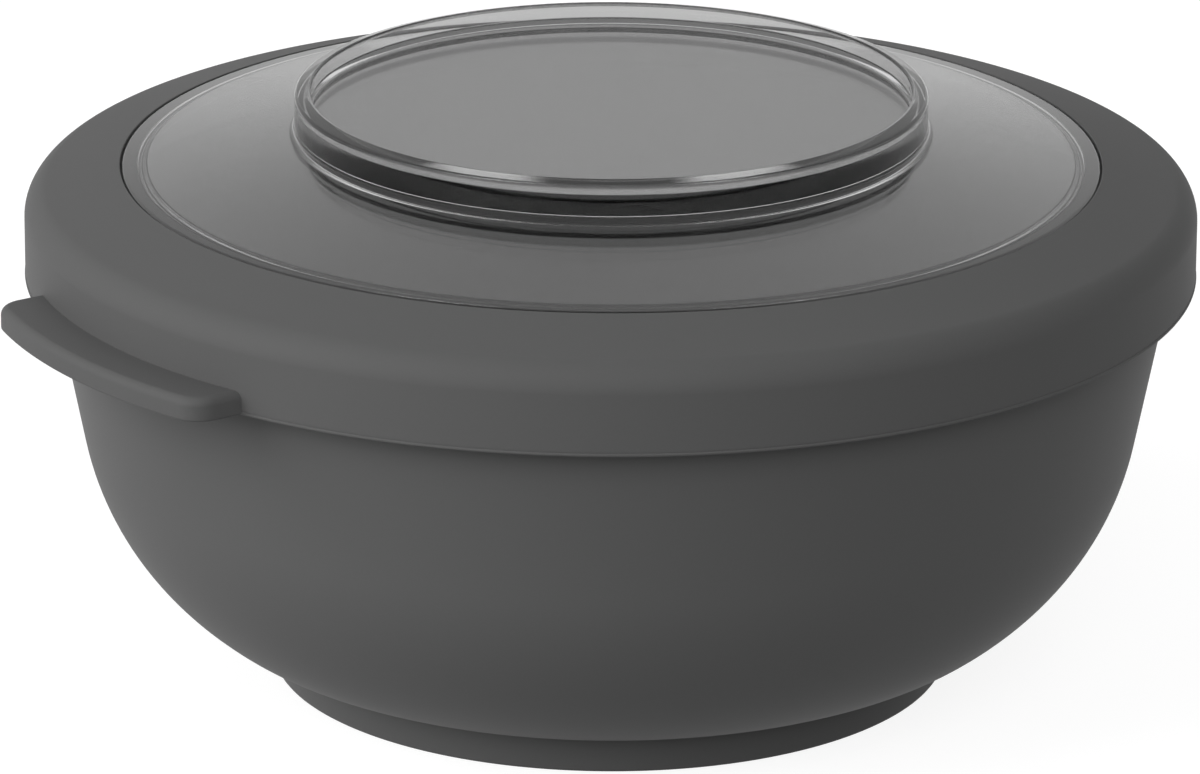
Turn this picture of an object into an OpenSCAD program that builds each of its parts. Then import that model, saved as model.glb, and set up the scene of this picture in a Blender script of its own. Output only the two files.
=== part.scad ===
// Storage bowl with a lift-off lid: a moulded bowl on a hollow foot ring, a soft lid ring with a
// pull tab, and a clear lid window with a raised ring that locates the foot of the next bowl.
// Millimetres. The origin is the centre of the foot's underside, +Z is up and -Y is the front.

/* [Bowl] */
// outside radius where the lid's skirt ends
bowl_r = 86.2; // [85:0.1:92]
// lean of the upper wall from upright, in degrees
wall_lean = 11; // [9:0.5:13]
// height where the leaning wall turns into the body curve
lean_end_z = 37.9; // [35:0.1:41]
// radius of the body curve
body_arc_r = 44.3; // [43:0.1:46]
// steepness where the body curve meets the lower curve, in degrees from upright
body_arc_end = 54; // [52:0.5:56]
// radius of the lower curve
low_arc_r = 26; // [24:0.1:28]
// thickness of the bowl's wall and base
wall_t = 2.2; // [1.6:0.1:3]
// height of the rim
rim_z = 73.8; // [72:0.1:75]
// height where the wall turns upright, under the lid
neck_z = 64.5; // [64:0.1:66]
// how far the rim's bead stands out of the wall
rim_bead = 0.5; // [0.2:0.1:0.7]

/* [Foot] */
// radius of the recess inside the foot ring
recess_r = 49.3; // [48.5:0.1:50]
// thickness of the foot ring at the table
foot_t = 3; // [2.5:0.1:3.5]
// how much wider the foot ring is where it meets the bowl
foot_flare = 0.7; // [0:0.1:1.2]
// rounding of the foot's outer edge
foot_edge = 0.6; // [0.3:0.1:1.2]

/* [Lid ring] */
// how far the lid's skirt stands out beyond the bowl
skirt_reach = 3.8; // [3.7:0.1:5]
// height of the skirt's lower edge
skirt_z = 63.5; // [62:0.5:64]
// thickness of the skirt
skirt_t = 2.3; // [1.8:0.1:2.4]
// rounding of the skirt's lower edge
skirt_edge = 0.5; // [0.2:0.1:0.8]
// radius of the bead inside the skirt that snaps under the bowl's rim
snap_r = 0.9; // [0.6:0.1:0.9]
// height of that bead above the skirt's lower edge
snap_up = 1.7; // [1.4:0.1:2.5]
// height of the ring's top at the window
ring_z = 80.6; // [80.2:0.1:81.5]
// width of the ring's top, from the window to the skirt's outside
ring_w = 14.8; // [13:0.1:16]
// fall of the ring's top towards its shoulder, in degrees
ring_slope = 16; // [12:0.5:18]
// rounding of the ring's shoulder
shoulder_r = 2.6; // [1.5:0.1:4]

/* [Ledge and plug] */
// height of the ledge under the window
ledge_z = 79; // [78.6:0.1:79.4]
// width of the ledge
ledge_w = 2.8; // [2:0.1:3.2]
// thickness of the ledge at its inner edge
ledge_t = 2.4; // [1.8:0.1:3]
// fall of the ledge's underside towards the plug
ledge_fall = 1.6; // [0.5:0.1:2.5]
// gap between the plug and the inside of the bowl
plug_gap = 2.15; // [1.5:0.05:2.5]
// thickness of the plug
plug_t = 3; // [2:0.1:3.5]
// height of the plug's lower edge
plug_z = 69.5; // [68.5:0.1:70.5]
// bevel of the plug's lower edges
plug_edge = 0.5; // [0.2:0.1:0.8]
// gap between the plug's sealing lips and the inside of the bowl
lip_gap = 0.4; // [0.3:0.05:0.8]
// thickness of a sealing lip
lip_t = 0.7; // [0.5:0.1:0.9]
// height of the lower lip above the plug's lower edge
lip_up = 1; // [0.9:0.1:1.2]
// distance between the two lips
lip_pitch = 1.8; // [1.2:0.1:2]

/* [Pull tab] */
// direction of the tab, in degrees from the front towards the left
tab_angle = 55; // [0:1:90]
// width of the tab
tab_w = 56; // [40:1:70]
// reach of the tab beyond the skirt
tab_reach = 7.5; // [5:0.1:12]
// thickness of the tab
tab_t = 3.6; // [2.5:0.1:5]
// rounding of the tab's corners
tab_corner = 4.5; // [2:0.5:5]

/* [Lid window] */
// gap between the window's edge and the ring
window_gap = 0.1; // [0.05:0.05:0.3]
// thickness of the sloping field
field_t = 2; // [1.6:0.1:2.4]
// height of the field where it meets the stacking ring
field_top_z = 85.5; // [85:0.1:86]
// thickness of the rib under the field that centres the window in its ledge
rib_t = 1.2; // [0.8:0.1:1.6]
// reach of that rib below the ledge's top
rib_h = 1.6; // [1:0.1:2.2]
// gap between the rib and the ledge
rib_gap = 0.2; // [0.1:0.05:0.4]

/* [Stacking ring] */
// gap between the stacking ring and the foot recess of the next bowl
stack_gap = 0.8; // [0.2:0.1:1.2]
// thickness of the stacking ring's wall
stack_t = 2.5; // [2:0.1:3]
// rounding between the field and the stacking ring
stack_cove = 0.9; // [0.5:0.1:1.5]
// height of the rim on its inner side
rim_in_z = 92; // [91.2:0.1:93]
// fall of the rim's top towards the outside, in degrees
rim_slope = 15; // [4:0.5:18]
// rounding of the rim's edges
rim_edge = 0.4; // [0.2:0.1:0.7]
// height of the floor inside the stacking ring
disc_z = 89.4; // [88.6:0.1:90]
// thickness of that floor
disc_t = 3.2; // [2:0.1:3.3]
// rounding between that floor and the ring's wall, above and below
disc_cove = 0.4; // [0.2:0.1:0.6]

/* [Hidden] */
$fn = 180;
plastic = [0.33, 0.33, 0.34];
clear = [0.85, 0.87, 0.88, 0.35];
// added to a curve's radius so that it crosses the straight it runs into
blend = 0.002;
// overlap of shapes that are joined
lap = 0.4;
// overlap of curves that are joined, in degrees
lap_a = 5;
// small step that keeps two faces from lying in one plane
skim = 0.05;
// distance that a cut reaches past its shape
over = 5;
// share of a curve's radius at which the flat sides of a section meet inside it
inner = 0.6;
// centre of the body curve
lean_r = bowl_r - (skirt_z - lean_end_z) * tan(wall_lean);
body_c = [lean_r - body_arc_r * cos(wall_lean), lean_end_z + body_arc_r * sin(wall_lean)];
// centre of the lower curve, on the line from the body curve's centre to where they meet
low_gap = body_arc_r - low_arc_r;
low_c = body_c + low_gap * [cos(body_arc_end), -sin(body_arc_end)];
base_z = low_c[1] - low_arc_r;
neck_r = neck_at(0);
neck_in_r = neck_at(wall_t);
bead_r = (neck_r - neck_in_r + rim_bead) / 2;
foot_r = recess_r + foot_t;
lid_r = bowl_r + skirt_reach;
skirt_in_r = lid_r - skirt_t;
window_r = lid_r - ring_w;
ledge_r = window_r - ledge_w;
plug_out_r = neck_in_r - plug_gap;
plug_r = plug_out_r - plug_t;
lip_r = neck_in_r - lip_gap;
// the bowl's rim and the seat over it are this far apart
seat_gap = 0.1;
seat_z = rim_z + seat_gap;
shoulder_c = edge_centre([window_r, ring_z], ring_slope, lid_r - shoulder_r, shoulder_r);
// depth of the snap bead's centre and of the tab's root in the skirt
snap_sink = 0.3;
tab_sink = 0.8;
edge_r = window_r - window_gap;
rib_r = ledge_r - rib_gap;
stack_r = recess_r - stack_gap;
stack_in_r = stack_r - stack_t;
// the field falls straight from the stacking ring to the window's edge, level with the ring
field_fall = atan((field_top_z - ring_z) / (edge_r - stack_r));
rim_top = [stack_in_r, rim_in_z];
rim_out_c = edge_centre(rim_top, rim_slope, stack_r - rim_edge, rim_edge);
rim_in_c = edge_centre(rim_top, rim_slope, stack_in_r + rim_edge, rim_edge);

// radius of the upright neck of the bowl, set in from the outside
function neck_at(inset) =
    lean_r - inset * cos(wall_lean)
    + (neck_z - lean_end_z - inset * sin(wall_lean)) * tan(wall_lean);

// centre of the rounding of radius r at x, under a top that falls from a point
function edge_centre(from, slope, x, r) =
    [x, from[1] - (x - from[0]) * tan(slope) - r / cos(slope)];

// height of the field's underside at a radius
function under_at(r) = field_top_z - (r - stack_r) * tan(field_fall) - field_t;

// point at an angle on a circle
function on(c, r, a) = c + r * [cos(a), sin(a)];

// slice of a round plate between two angles
module sector(c, r, a0, a1) {
    intersection() {
        translate(c) circle(r = r + blend);
        polygon([c, on(c, 2 * r, a0), on(c, 2 * r, (a0 + a1) / 2), on(c, 2 * r, a1)]);
    }
}

// filling of an inside corner, hollowed by a circle; the open side lies between two angles
module cove(corner, r, a0, a1) {
    middle_a = (a0 + a1) / 2;
    middle = on(corner, r / sin((a1 - a0) / 2), middle_a);
    difference() {
        polygon([
            on(corner, -lap, middle_a),
            on(middle, r + lap, a0 - 90),
            middle,
            on(middle, r + lap, a1 + 90)
        ]);
        translate(middle) circle(r = r + blend);
    }
}

// half section of the bowl's solid outside, or of its hollow when set in
module bowl_half(inset, top) {
    r = body_arc_r - inset;
    low_r = low_arc_r - inset;
    floor_z = low_c[1] - low_r;
    polygon([
        [0, floor_z],
        [low_c[0], floor_z],
        on(low_c, low_r * inner, -75),
        on(body_c, r * inner, -body_arc_end / 2),
        on(body_c, r, -wall_lean),
        [neck_at(inset), neck_z],
        [neck_at(inset), top],
        [0, top]
    ]);
    sector(body_c, r, lap_a - wall_lean, -body_arc_end);
    sector(low_c, low_r, lap_a - body_arc_end, -90 - lap_a);
}

// half section of the foot ring, its top end buried in the bowl's base
module foot_half() {
    top_z = base_z + wall_t * 0.7;
    edge_x = foot_r - foot_edge;
    polygon([
        [recess_r - lap, 0],
        [edge_x, 0],
        [edge_x, foot_edge],
        [foot_r, foot_edge],
        [foot_r + foot_flare, top_z],
        [recess_r - lap, top_z]
    ]);
    sector([edge_x, foot_edge], foot_edge, lap_a, -90 - lap_a);
}

// moulded bowl with its rim bead and hollow foot
module bowl() {
    color(plastic)
    rotate_extrude()
    difference() {
        union() {
            bowl_half(0, rim_z - bead_r);
            foot_half();
            translate([neck_in_r + bead_r - skim, rim_z - bead_r]) circle(r = bead_r);
        }
        bowl_half(wall_t, rim_z + over);
        translate([0, -over]) square([recess_r, base_z + over + skim]);
    }
}

// half section of the lid's ring
module ring_half() {
    low = [lid_r - skirt_edge, skirt_z + skirt_edge];
    polygon([
        [ledge_r, ledge_z],
        [ledge_r, ledge_z - ledge_t],
        [plug_r, ledge_z - ledge_t - ledge_fall],
        [plug_r, plug_z + plug_edge],
        [plug_r + plug_edge, plug_z],
        [plug_out_r - plug_edge, plug_z],
        [plug_out_r, plug_z + plug_edge],
        [plug_out_r, seat_z],
        [skirt_in_r, seat_z],
        [skirt_in_r, skirt_z],
        [low[0], skirt_z],
        low,
        [lid_r, low[1]],
        [lid_r, shoulder_c[1]],
        shoulder_c,
        on(shoulder_c, shoulder_r, 90 - ring_slope),
        [window_r, ring_z],
        [window_r, ledge_z]
    ]);
    sector(shoulder_c, shoulder_r, -lap_a, 90 + lap_a - ring_slope);
    sector(low, skirt_edge, lap_a, -90 - lap_a);
    translate([skirt_in_r + snap_sink, skirt_z + snap_up]) circle(r = snap_r);
    // two sealing lips against the bowl's inside
    for (up = [lip_up, lip_up + lip_pitch])
        translate([plug_out_r - lap, plug_z + up]) square([lip_r - plug_out_r + lap, lip_t]);
}

// plan of the pull tab along +X, its outer edge round the lid's own centre
module tab_plan() {
    tab_r = lid_r + tab_reach;
    side = tab_w / 2 - tab_corner;
    corner_x = sqrt(pow(tab_r - tab_corner, 2) - side * side);
    half = atan2(side, corner_x);
    difference() {
        union() {
            translate([corner_x - tab_w / 2, -tab_w / 2]) square([tab_w / 2, tab_w]);
            sector([0, 0], tab_r, -half, half);
            for (s = [-1, 1]) translate([corner_x, s * side]) circle(r = tab_corner + 2 * blend);
        }
        // the root stays buried in the skirt
        circle(r = lid_r - tab_sink);
    }
}

// soft ring of the lid with its pull tab
module lid_ring() {
    color(plastic)
    union() {
        rotate_extrude() ring_half();
        translate([0, 0, skirt_z])
        rotate([0, 0, 270 - tab_angle])
        linear_extrude(height = tab_t)
        tab_plan();
    }
}

// half section of the clear window
module window_half() {
    floor_z = disc_z - disc_t;
    rib_in_r = rib_r - rib_t;
    polygon([
        [0, floor_z],
        [stack_in_r, floor_z],
        [stack_in_r, under_at(stack_in_r)],
        [rib_in_r, under_at(rib_in_r)],
        [rib_in_r, ledge_z - rib_h],
        [rib_r, ledge_z - rib_h],
        [rib_r, ledge_z],
        [edge_r, ledge_z],
        [edge_r, ring_z],
        [stack_r, field_top_z],
        [stack_r, rim_out_c[1]],
        rim_out_c,
        on(rim_out_c, rim_edge, 90 - rim_slope),
        on(rim_in_c, rim_edge, 90 - rim_slope),
        rim_in_c,
        [stack_in_r, rim_in_c[1]],
        [stack_in_r, disc_z],
        [0, disc_z]
    ]);
    sector(rim_in_c, rim_edge, 90 - lap_a - rim_slope, 180 + lap_a);
    sector(rim_out_c, rim_edge, -lap_a, 90 + lap_a - rim_slope);
    cove([stack_r, field_top_z], stack_cove, -field_fall, 90);
    cove([stack_in_r, disc_z], disc_cove, 90, 180);
    cove([stack_in_r, floor_z], disc_cove, 180, 270);
}

// clear window of the lid with its raised stacking ring
module lid_window() {
    color(clear)
    rotate_extrude() window_half();
}

bowl();
lid_ring();
lid_window();
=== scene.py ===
import math

import bpy
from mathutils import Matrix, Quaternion, Vector


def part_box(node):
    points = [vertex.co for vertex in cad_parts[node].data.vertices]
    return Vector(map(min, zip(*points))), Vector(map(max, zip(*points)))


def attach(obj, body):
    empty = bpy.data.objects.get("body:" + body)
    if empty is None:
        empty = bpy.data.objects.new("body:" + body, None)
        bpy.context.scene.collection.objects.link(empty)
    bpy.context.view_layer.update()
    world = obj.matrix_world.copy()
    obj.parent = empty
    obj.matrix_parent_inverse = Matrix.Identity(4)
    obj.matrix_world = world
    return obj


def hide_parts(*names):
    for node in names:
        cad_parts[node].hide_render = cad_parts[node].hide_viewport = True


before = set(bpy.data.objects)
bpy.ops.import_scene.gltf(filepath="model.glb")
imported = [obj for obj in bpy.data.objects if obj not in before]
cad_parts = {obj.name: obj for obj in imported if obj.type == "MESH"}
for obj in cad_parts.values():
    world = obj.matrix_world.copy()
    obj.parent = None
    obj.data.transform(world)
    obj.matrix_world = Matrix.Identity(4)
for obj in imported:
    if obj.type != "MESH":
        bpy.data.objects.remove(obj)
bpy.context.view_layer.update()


# Bowl: one rigid moulding in matt grey plastic, with a leaning wall that runs into a round body, a
# bead round the rim for the lid to snap over, and a hollow foot ring in one with the base.
mm = 0.001
# Sizes are in millimetres and angles in degrees; body and low are the two arcs of the outside.
wall = 2.2
lean = 11
body_x, body_z, body_r = 37.74, 46.35, 44.3
low_x, low_z, low_r = 48.49, 31.55, 26
body_end = 54
foot_low_r, foot_high_r, recess_r = 52.3, 52.88, 49.3
base_z = low_z - low_r
neck_z, neck_r = 64.5, 86.39
neck_in_r = neck_r - wall / math.cos(math.radians(lean))
rim_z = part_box("bowl")[1].z / mm
rim_bead_r, rim_bead_lap = 1.37, 0.05
rim_bead_x = neck_in_r + rim_bead_r - rim_bead_lap
recess_top_edge, recess_edge, foot_edge, foot_joint, neck_bend = 0.8, 0.5, 0.6, 0.9, 2.5
bowl_grey, bowl_roughness = 0.093, 0.62
round_steps = 256
merge_gap = 0.001


def start_drawing(name, x, y, z):
    """Starts a piece from one point, in millimetres, and leaves it open to be drawn on."""
    bpy.ops.object.select_all(action="DESELECT")
    bpy.ops.mesh.primitive_plane_add(size=mm, location=(0, 0, 0))
    piece = bpy.context.object
    piece.name = name
    piece.data.name = name
    bpy.ops.object.mode_set(mode="EDIT")
    bpy.ops.mesh.select_mode(type="VERT")
    bpy.ops.mesh.merge(type="CENTER")
    bpy.ops.transform.translate(value=(x * mm, y * mm, z * mm))
    return piece


def merge_points():
    """Joins the points of the open piece that meet, and selects all of it."""
    bpy.ops.mesh.select_all(action="SELECT")
    bpy.ops.mesh.remove_doubles(threshold=merge_gap * mm)
    bpy.ops.mesh.select_all(action="SELECT")


class Section:
    """Half section of a moulding that is round about Z, drawn in the XZ plane in millimetres."""

    def __init__(self, name, x, z):
        self.piece = start_drawing(name, x, 0, z)
        self.x, self.z = x, z

    def line(self, x, z):
        """Draws on from the last point, straight to the next one."""
        step = ((x - self.x) * mm, 0, (z - self.z) * mm)
        bpy.ops.mesh.extrude_region_move(TRANSFORM_OT_translate={"value": step})
        self.x, self.z = x, z

    def arc(self, x, z, degrees, steps):
        """Draws on from the last point round a centre; a positive angle turns from +X to +Z."""
        turn = math.radians(degrees)
        bpy.ops.mesh.spin(steps=steps, angle=turn, center=(x * mm, 0, z * mm), axis=(0, 1, 0))
        across, up = self.x - x, self.z - z
        self.x = x + across * math.cos(turn) - up * math.sin(turn)
        self.z = z + across * math.sin(turn) + up * math.cos(turn)

    def soften(self, x, z, reach, steps=4):
        """Rounds the corner at a point, starting that far from it on both sides."""
        bpy.ops.mesh.select_all(action="DESELECT")
        bpy.ops.object.mode_set(mode="OBJECT")
        corner = Vector((x * mm, 0, z * mm))
        nearest = min(self.piece.data.vertices, key=lambda point: (point.co - corner).length)
        nearest.select = True
        bpy.ops.object.mode_set(mode="EDIT")
        bpy.ops.mesh.bevel(affect="VERTICES", offset=reach * mm, segments=steps)

    def spin(self):
        """Turns the section round Z into the closed moulding."""
        merge_points()
        bpy.ops.mesh.spin(steps=round_steps, angle=math.tau, center=(0, 0, 0), axis=(0, 0, 1))
        merge_points()
        bpy.ops.mesh.normals_make_consistent(inside=False)
        bpy.ops.object.mode_set(mode="OBJECT")
        return self.piece


def smooth(piece):
    """Shades a moulding smooth, with its flats kept flat right up to their rounded edges."""
    bpy.ops.object.shade_smooth_by_angle(angle=math.radians(40))
    flats = piece.modifiers.new("flats", "WEIGHTED_NORMAL")
    flats.keep_sharp = True
    flats.weight = 100
    bpy.ops.object.modifier_apply(modifier="flats")


section = Section("bowl_moulding", 0, base_z)
section.line(recess_r, base_z)
section.line(recess_r, 0)
section.line(foot_low_r, 0)
joint_a = -math.degrees(math.acos((foot_high_r - low_x) / low_r))
joint_z = low_z + low_r * math.sin(math.radians(joint_a))
section.line(foot_high_r, joint_z)
section.arc(low_x, low_z, -body_end - joint_a, steps=10)
section.arc(body_x, body_z, body_end - lean, steps=24)
section.line(neck_r, neck_z)
bead_z = rim_z - rim_bead_r
bead_from = -math.degrees(math.acos((neck_r - rim_bead_x) / rim_bead_r))
bead_to = 360 - math.degrees(math.acos((neck_in_r - rim_bead_x) / rim_bead_r))
section.line(neck_r, bead_z + rim_bead_r * math.sin(math.radians(bead_from)))
section.arc(rim_bead_x, bead_z, bead_to - bead_from, steps=14)
neck_in_z = neck_z - wall * math.tan(math.radians(lean) / 2)
section.line(neck_in_r, neck_in_z)
lean_c, lean_s = math.cos(math.radians(lean)), math.sin(math.radians(lean))
section.line(body_x + (body_r - wall) * lean_c, body_z - (body_r - wall) * lean_s)
section.arc(body_x, body_z, lean - body_end, steps=24)
section.arc(low_x, low_z, body_end - 90, steps=12)
section.line(0, base_z + wall)
section.soften(recess_r, base_z, recess_top_edge)
section.soften(recess_r, 0, recess_edge)
section.soften(foot_low_r, 0, foot_edge)
section.soften(foot_high_r, joint_z, foot_joint)
section.soften(neck_r, neck_z, neck_bend)
section.soften(neck_in_r, neck_in_z, neck_bend)
bowl = section.spin()
smooth(bowl)


class Wire:
    """An output of a shader's nodes. Sums with numbers and other wires add Math nodes."""

    def __init__(self, shader, socket):
        self.shader, self.socket = shader, socket

    def combine(self, operation, first, second):
        settings = {"operation": operation}
        return self.shader.node("ShaderNodeMath", settings, {0: first, 1: second})

    def __add__(self, other):
        return self.combine("ADD", self, other)

    def __mul__(self, other):
        return self.combine("MULTIPLY", self, other)

    def __sub__(self, other):
        return self.combine("SUBTRACT", self, other)

    def __rsub__(self, other):
        return self.combine("SUBTRACT", other, self)

    __radd__ = __add__
    __rmul__ = __mul__


class Shader:
    """The node tree of a material or of the world."""

    def __init__(self, owner):
        owner.use_nodes = True
        self.tree = owner.node_tree
        self.tree.nodes.clear()

    def node(self, kind, settings=None, inputs=None, output=0):
        """Adds a node, sets it, then fills or links its sockets; gives one of its outputs."""
        made = self.tree.nodes.new(kind)
        for name, value in (settings or {}).items():
            setattr(made, name, value)
        for name, value in (inputs or {}).items():
            if isinstance(value, Wire):
                self.tree.links.new(value.socket, made.inputs[name])
            else:
                made.inputs[name].default_value = value
        return Wire(self, made.outputs[output]) if made.outputs else made


def grey(level):
    """A neutral colour, from 0 for black to 1 for white."""
    return (level, level, level, 1)


def matt_plastic(name, level, roughness):
    """Moulded plastic with the fine spark texture of its mould and slight shifts in tone."""
    tone_shift, drift_share, gloss_shift = 0.06, 0.6, 0.08
    material = bpy.data.materials.new(name)
    shader = Shader(material)
    place = shader.node("ShaderNodeTexCoord", output="Object")
    drift = shader.node("ShaderNodeTexNoise", inputs={"Vector": place, "Scale": 28, "Detail": 3})
    grain = shader.node("ShaderNodeTexNoise", inputs={"Vector": place, "Scale": 2600, "Detail": 2})
    # Sockets 6 and 7 take the two colours of the mix, and output 2 gives the mixed one.
    tone = shader.node(
        "ShaderNodeMix",
        {"data_type": "RGBA"},
        {
            "Factor": drift * drift_share + grain * (1 - drift_share),
            6: grey(level * (1 - tone_shift)),
            7: grey(level * (1 + tone_shift)),
        },
        output=2,
    )
    relief = shader.node(
        "ShaderNodeBump", inputs={"Height": grain, "Strength": 0.25, "Distance": 0.02 * mm}
    )
    surface = shader.node(
        "ShaderNodeBsdfPrincipled",
        inputs={
            "Base Color": tone,
            "Roughness": roughness - gloss_shift / 2 + drift * gloss_shift,
            "Specular IOR Level": 0.18,
            "Normal": relief,
        },
    )
    shader.node("ShaderNodeOutputMaterial", inputs={"Surface": surface})
    return material


bowl.data.materials.append(matt_plastic("bowl_plastic", bowl_grey, bowl_roughness))
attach(bowl, "bowl")
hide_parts("bowl")


# Lid ring: a softer moulding in the same grey, with a sloping top, a round shoulder, a skirt that
# snaps over the bowl's rim, a plug with two sealing lips, and a pull tab moulded on its edge.
lid_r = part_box("lid_ring")[1].x / mm
flash_out, flash_t = 0.08, 0.4
flash_groove, flash_groove_rise, flash_ramp_rise = 0.08, 0.12, 0.5
skirt_z, skirt_in_r, skirt_out_r = 63.5, 87.7, lid_r - flash_out
ring_z, ring_slope = 80.6, math.radians(16)
window_r, ledge_r, ledge_z, ledge_t, ledge_root_t = 75.2, 72.4, 79, 2.4, 4
plug_in_r, plug_out_r, plug_z = 79, 82, 69.5
lip_r, lip_t, lip_taper, lip_rises = 83.75, 0.7, 0.1, (1, 2.8)
seat_z = 73.9
snap_r, snap_x, snap_z = 0.9, 88, 65.2
shoulder_z = ring_z - (skirt_out_r - window_r) * math.tan(ring_slope)
shoulder_reach, opening_edge, flash_edge = 3.6, 0.2, 0.06
skirt_out_edge, skirt_in_edge, plug_in_edge, plug_out_edge = 0.25, 0.3, 0.5, 0.7
ring_grey, ring_roughness = 0.088, 0.64

section = Section("ring_moulding", ledge_r, ledge_z)
section.line(ledge_r, ledge_z - ledge_t)
section.line(plug_in_r, ledge_z - ledge_root_t)
section.line(plug_in_r, plug_z)
section.line(plug_out_r, plug_z)
for lip_rise in lip_rises:
    lip_z = plug_z + lip_rise
    section.line(plug_out_r, lip_z)
    section.line(lip_r, lip_z + lip_taper)
    section.line(lip_r, lip_z + lip_t)
    section.line(plug_out_r, lip_z + lip_t)
section.line(plug_out_r, seat_z)
section.line(skirt_in_r, seat_z)
snap_half = math.degrees(math.acos((snap_x - skirt_in_r) / snap_r))
snap_rise = snap_r * math.sin(math.radians(snap_half))
section.line(skirt_in_r, snap_z + snap_rise)
section.arc(snap_x, snap_z, 2 * snap_half, steps=10)
section.line(skirt_in_r, skirt_z)
section.line(lid_r, skirt_z)
flash_z = skirt_z + flash_t
section.line(lid_r, flash_z)
section.line(skirt_out_r - flash_groove, flash_z + flash_groove_rise)
section.line(skirt_out_r, flash_z + flash_ramp_rise)
section.line(skirt_out_r, shoulder_z)
section.line(window_r, ring_z)
section.line(window_r, ledge_z)
section.line(ledge_r, ledge_z)
section.soften(window_r, ring_z, opening_edge)
section.soften(skirt_out_r, shoulder_z, shoulder_reach, steps=14)
section.soften(lid_r, flash_z, flash_edge, steps=2)
section.soften(lid_r, skirt_z, skirt_out_edge)
section.soften(skirt_in_r, skirt_z, skirt_in_edge)
section.soften(plug_in_r, plug_z, plug_in_edge)
section.soften(plug_out_r, plug_z, plug_out_edge)
ring = section.spin()

# The tab is drawn flat, pointing along +X from inside the skirt, then raised, rounded and turned to
# its place on the left of the front.
tab_w, tab_r, tab_t, tab_corner = 56, 97.5, 3.6, 4.5
tab_top_edge, tab_low_edge = 1.3, 0.4
tab_from_front = 55
tab_root_r, root_cover = 88.4, 0.5
level_slack = 0.01
tab_side = tab_w / 2 - tab_corner
tab_corner_x = math.sqrt((tab_r - tab_corner) ** 2 - tab_side**2)
tab_half = math.degrees(math.atan2(tab_side, tab_corner_x))
corner_turn = 90 - tab_half
root_half = math.degrees(math.asin(tab_w / 2 / tab_root_r))
root_x = math.sqrt(tab_root_r**2 - tab_w**2 / 4)


def draw_tab_along(x, y, z):
    """Draws the tab on from what was drawn last, straight along."""
    step = (x * mm, y * mm, z * mm)
    bpy.ops.mesh.extrude_region_move(TRANSFORM_OT_translate={"value": step})


def draw_tab_round(x, y, degrees, steps):
    """Draws the tab's outline on from its last point round a centre."""
    centre = (x * mm, y * mm, skirt_z * mm)
    bpy.ops.mesh.spin(steps=steps, angle=math.radians(degrees), center=centre, axis=(0, 0, -1))


def select_tab_edges(height):
    """Selects the edges round the tab at one height, apart from those inside the skirt."""
    bpy.ops.object.mode_set(mode="EDIT")
    bpy.ops.mesh.select_mode(type="EDGE")
    bpy.ops.mesh.select_all(action="DESELECT")
    bpy.ops.object.mode_set(mode="OBJECT")
    covered_r = (tab_root_r + root_cover) * mm
    for edge in tab.data.edges:
        ends = [tab.data.vertices[number].co for number in edge.vertices]
        level = all(abs(end.z - height * mm) < level_slack * mm for end in ends)
        edge.select = level and any(math.hypot(end.x, end.y) > covered_r for end in ends)
    bpy.ops.object.mode_set(mode="EDIT")


tab = start_drawing("pull_tab", root_x, -tab_w / 2, skirt_z)
draw_tab_along(tab_corner_x - root_x, 0, 0)
draw_tab_round(tab_corner_x, -tab_side, corner_turn, steps=10)
draw_tab_round(0, 0, 2 * tab_half, steps=40)
draw_tab_round(tab_corner_x, tab_side, corner_turn, steps=10)
draw_tab_along(root_x - tab_corner_x, 0, 0)
draw_tab_round(0, 0, -2 * root_half, steps=40)
merge_points()
bpy.ops.mesh.edge_face_add()
draw_tab_along(0, 0, tab_t)
bpy.ops.mesh.select_all(action="SELECT")
bpy.ops.mesh.normals_make_consistent(inside=False)
for tab_edge_z, reach, steps in ((skirt_z + tab_t, tab_top_edge, 8), (skirt_z, tab_low_edge, 4)):
    select_tab_edges(tab_edge_z)
    bpy.ops.mesh.bevel(offset=reach * mm, segments=steps, affect="EDGES")
bpy.ops.mesh.select_all(action="SELECT")
tab_turn = math.radians(270 - tab_from_front)
bpy.ops.transform.rotate(
    value=-tab_turn, orient_axis="Z", center_override=(0, 0, 0), orient_type="GLOBAL"
)
bpy.ops.object.mode_set(mode="OBJECT")

bpy.ops.object.select_all(action="DESELECT")
bpy.context.view_layer.objects.active = ring
ring.select_set(True)
weld = ring.modifiers.new("weld", "BOOLEAN")
weld.operation = "UNION"
weld.solver = "EXACT"
weld.object = tab
bpy.ops.object.modifier_apply(modifier="weld")
bpy.data.objects.remove(tab)
smooth(ring)

ring.data.materials.append(matt_plastic("ring_plastic", ring_grey, ring_roughness))
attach(ring, "lid")
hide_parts("lid_ring")


# Lid window: a clear rigid moulding bonded in the ring's ledge and centred there by a rib under it.
# Its field falls from the stacking ring to an edge flush with the lid, and the stacking ring, with
# its sloping rim and its floor, locates the foot of the next bowl.
edge_gap, bond_lap = 0.1, 0.02
edge_r, edge_z = window_r - edge_gap, ring_z - edge_gap
bond_z = ledge_z - bond_lap
plate_t = 2
rib_gap, rib_drop, rib_t = 0.2, 1.6, 1.2
rib_out_r, rib_z = ledge_r - rib_gap, ledge_z - rib_drop
rib_in_r = rib_out_r - rib_t
stack_r, stack_in_r = 48.5, 46
field_top_z = 85.5
field_slope = (field_top_z - edge_z) / (edge_r - stack_r)
rim_in_z, rim_slope = 92, math.radians(15)
rim_out_z = rim_in_z - (stack_r - stack_in_r) * math.tan(rim_slope)
disc_z, disc_t, disc_edge = 89.4, 3.2, 0.2
stack_root, rib_root, rib_tip, border_edge = 0.8, 0.3, 0.58, 0.6
stack_foot, rim_out_edge, rim_in_edge = 0.9, 0.53, 0.55
clear_tint, clear_depth, clear_density = 0.955, 0.5, 17
clear_index, clear_haze = 1.52, 0.08


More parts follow.
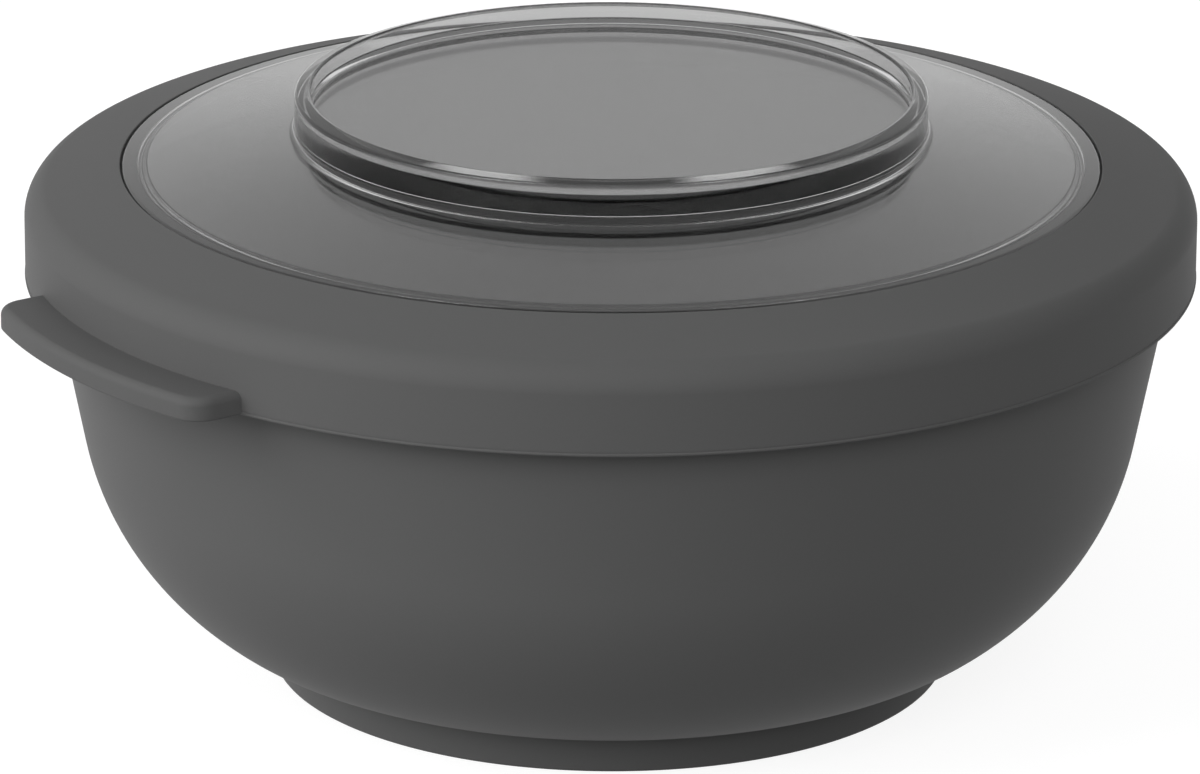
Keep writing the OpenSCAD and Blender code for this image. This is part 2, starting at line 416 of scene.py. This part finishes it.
def under(r):
    """Height of the underside of the field, which runs level with its top."""
    return field_top_z - (r - stack_r) * field_slope - plate_t


section = Section("window_moulding", 0, disc_z - disc_t)
section.line(stack_in_r, disc_z - disc_t)
section.line(stack_in_r, under(stack_in_r))
section.line(rib_in_r, under(rib_in_r))
section.line(rib_in_r, rib_z)
section.line(rib_out_r, rib_z)
section.line(rib_out_r, bond_z)
section.line(edge_r, bond_z)
section.line(edge_r, edge_z)
section.line(stack_r, field_top_z)
section.line(stack_r, rim_out_z)
section.line(stack_in_r, rim_in_z)
section.line(stack_in_r, disc_z)
section.line(0, disc_z)
section.soften(stack_in_r, disc_z - disc_t, disc_edge)
section.soften(stack_in_r, under(stack_in_r), stack_root, steps=8)
section.soften(rib_in_r, under(rib_in_r), rib_root)
section.soften(rib_in_r, rib_z, rib_tip, steps=8)
section.soften(rib_out_r, rib_z, rib_tip, steps=8)
section.soften(edge_r, edge_z, border_edge, steps=8)
section.soften(stack_r, field_top_z, stack_foot, steps=10)
section.soften(stack_r, rim_out_z, rim_out_edge, steps=10)
section.soften(stack_in_r, rim_in_z, rim_in_edge, steps=6)
section.soften(stack_in_r, disc_z, disc_edge)
window = section.spin()
smooth(window)

clear = bpy.data.materials.new("window_plastic")
shader = Shader(clear)
place = shader.node("ShaderNodeTexCoord", output="Object")
haze = shader.node("ShaderNodeTexNoise", inputs={"Vector": place, "Scale": 60, "Detail": 4})
surface = shader.node(
    "ShaderNodeBsdfPrincipled",
    inputs={
        "Base Color": grey(clear_tint),
        "Roughness": haze * clear_haze,
        "IOR": clear_index,
        "Transmission Weight": 1,
    },
)
depth = shader.node(
    "ShaderNodeVolumeAbsorption", inputs={"Color": grey(clear_depth), "Density": clear_density}
)
shader.node("ShaderNodeOutputMaterial", inputs={"Surface": surface, "Volume": depth})
window.data.materials.append(clear)
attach(window, "lid")
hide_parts("lid_window")


# Floor: a wide plain sheet under the foot, white to the camera and with the bowl's own shadow on it.
# It shows greyer through the clear lid, and is dull for the light that it sends back up.
floor_size = 8
paper_grey, paper_lift, through_light, dull_grey = 0.26, 0.87, 0.56, 0.22
bpy.ops.object.select_all(action="DESELECT")
bpy.ops.mesh.primitive_plane_add(size=floor_size, location=(0, 0, 0))
floor = bpy.context.object
floor.name = "floor"
bpy.ops.object.mode_set(mode="EDIT")
bpy.ops.mesh.subdivide(number_cuts=3)
bpy.ops.object.mode_set(mode="OBJECT")
floor_paper = bpy.data.materials.new("floor_paper")
shader = Shader(floor_paper)


def by_ray(shader, seen, mirrored, through, lighting):
    """What the camera sees, what shows in and through the clear lid, and what lights the bowl."""
    surface = lighting
    for kind, shown in (("Glossy", mirrored), ("Transmission", through), ("Camera", seen)):
        ray = shader.node("ShaderNodeLightPath", output=f"Is {kind} Ray")
        surface = shader.node("ShaderNodeMixShader", inputs={0: ray, 1: surface, 2: shown})
    return surface


paper = shader.node("ShaderNodeBsdfDiffuse", inputs={"Color": grey(paper_grey)})
lift = shader.node("ShaderNodeEmission", inputs={"Color": grey(1), "Strength": paper_lift})
seen = shader.node("ShaderNodeAddShader", inputs={0: paper, 1: lift})
through = shader.node("ShaderNodeEmission", inputs={"Color": grey(1), "Strength": through_light})
dull = shader.node("ShaderNodeBsdfDiffuse", inputs={"Color": grey(dull_grey)})
surface = by_ray(shader, seen, seen, through, dull)
shader.node("ShaderNodeOutputMaterial", inputs={"Surface": surface})
floor.data.materials.append(floor_paper)


# Studio light: soft white walls, dimmer low down, higher up and on the right, with a large soft lamp
# on the left and a smaller one above the front. The clear lid shows a plain room with a dimmer
# ceiling, and mirrors two small panels high behind the bowl.
wall_light, wall_dim = 0.8, 0.3
room_light, room_dim = 0.77, 0.15
panel_light = 4.8
world = bpy.data.worlds.new("studio")
bpy.context.scene.world = world
shader = Shader(world)
direction = shader.node("ShaderNodeTexCoord", output="Generated")
side, back, height = (
    shader.node("ShaderNodeSeparateXYZ", inputs={"Vector": direction}, output=axis)
    for axis in "XYZ"
)


def rising(value, start, end):
    """0 up to the start, 1 from the end on, with a soft change between."""
    return shader.node(
        "ShaderNodeMapRange",
        {"interpolation_type": "SMOOTHSTEP"},
        {"Value": value, "From Min": start, "From Max": end},
    )


def white(strength):
    """White light of one strength from all round."""
    return shader.node("ShaderNodeBackground", inputs={"Color": grey(1), "Strength": strength})


def blend(share, first, second):
    """The first light, and the second in its place as far as the share goes."""
    return shader.node("ShaderNodeMixShader", inputs={0: share, 1: first, 2: second})


less_right = rising(side, start=0.2, end=1) * 0.6
less_high = rising(height, start=0.34, end=0.6) - rising(height, start=0.72, end=0.92) * 0.3
less_low = (1 - rising(height, start=0, end=0.3)) * 0.9
shade = shader.node("ShaderNodeClamp", inputs={"Value": less_high + less_low + less_right})
lighting = blend(shade, white(wall_light), white(wall_light * wall_dim))
ceiling = rising(height, start=0.7, end=0.9) * 0.4
room = blend(ceiling, white(room_light), white(room_light * room_dim))
aside = shader.node("ShaderNodeMath", {"operation": "ABSOLUTE"}, {0: side})
across = rising(aside, start=0.055, end=0.095) - rising(aside, start=0.13, end=0.19)
panels = across * rising(height, start=0.63, end=0.65) * rising(back, start=0.6, end=0.64)
mirrored = blend(panels, room, white(panel_light))
surface = by_ray(shader, white(1), mirrored, room, lighting)
shader.node("ShaderNodeOutputWorld", inputs={"Surface": surface})


def soft_lamp(name, place, size, watts):
    """A square soft box that faces the middle of the bowl."""
    middle = Vector((0, 0, 0.05))
    bpy.ops.object.light_add(type="AREA", location=place)
    lamp = bpy.context.object
    lamp.name = name
    lamp.data.size = size
    lamp.data.energy = watts
    lamp.visible_transmission = False
    lamp.visible_glossy = False
    lamp.rotation_mode = "QUATERNION"
    lamp.rotation_quaternion = (middle - Vector(place)).to_track_quat("-Z", "Y")


soft_lamp("key_lamp", place=(-1.5, -0.6, 0.72), size=1.4, watts=29)
soft_lamp("fill_lamp", place=(0.3, -1.5, 1.15), size=1, watts=12)


# Camera: a long lens in front of the bowl and a little above its lid, rolled very slightly, with the
# bowl as large in the frame as in the picture.
tilt, roll = math.radians(18.87), math.radians(0.2214)
camera_gap = 1.35
aim = Vector((-1.56 * mm, 0, 43.5 * mm))
forward = Vector((0, math.cos(tilt), -math.sin(tilt)))
bpy.ops.object.camera_add(location=aim - camera_gap * forward)
camera = bpy.context.object
camera.rotation_mode = "QUATERNION"
camera.rotation_quaternion = forward.to_track_quat("-Z", "Y") @ Quaternion((0, 0, 1), roll)
camera.data.sensor_width = 36
camera.data.lens = 261.8
bpy.context.scene.camera = camera
bpy.context.scene.view_settings.view_transform = "Standard"
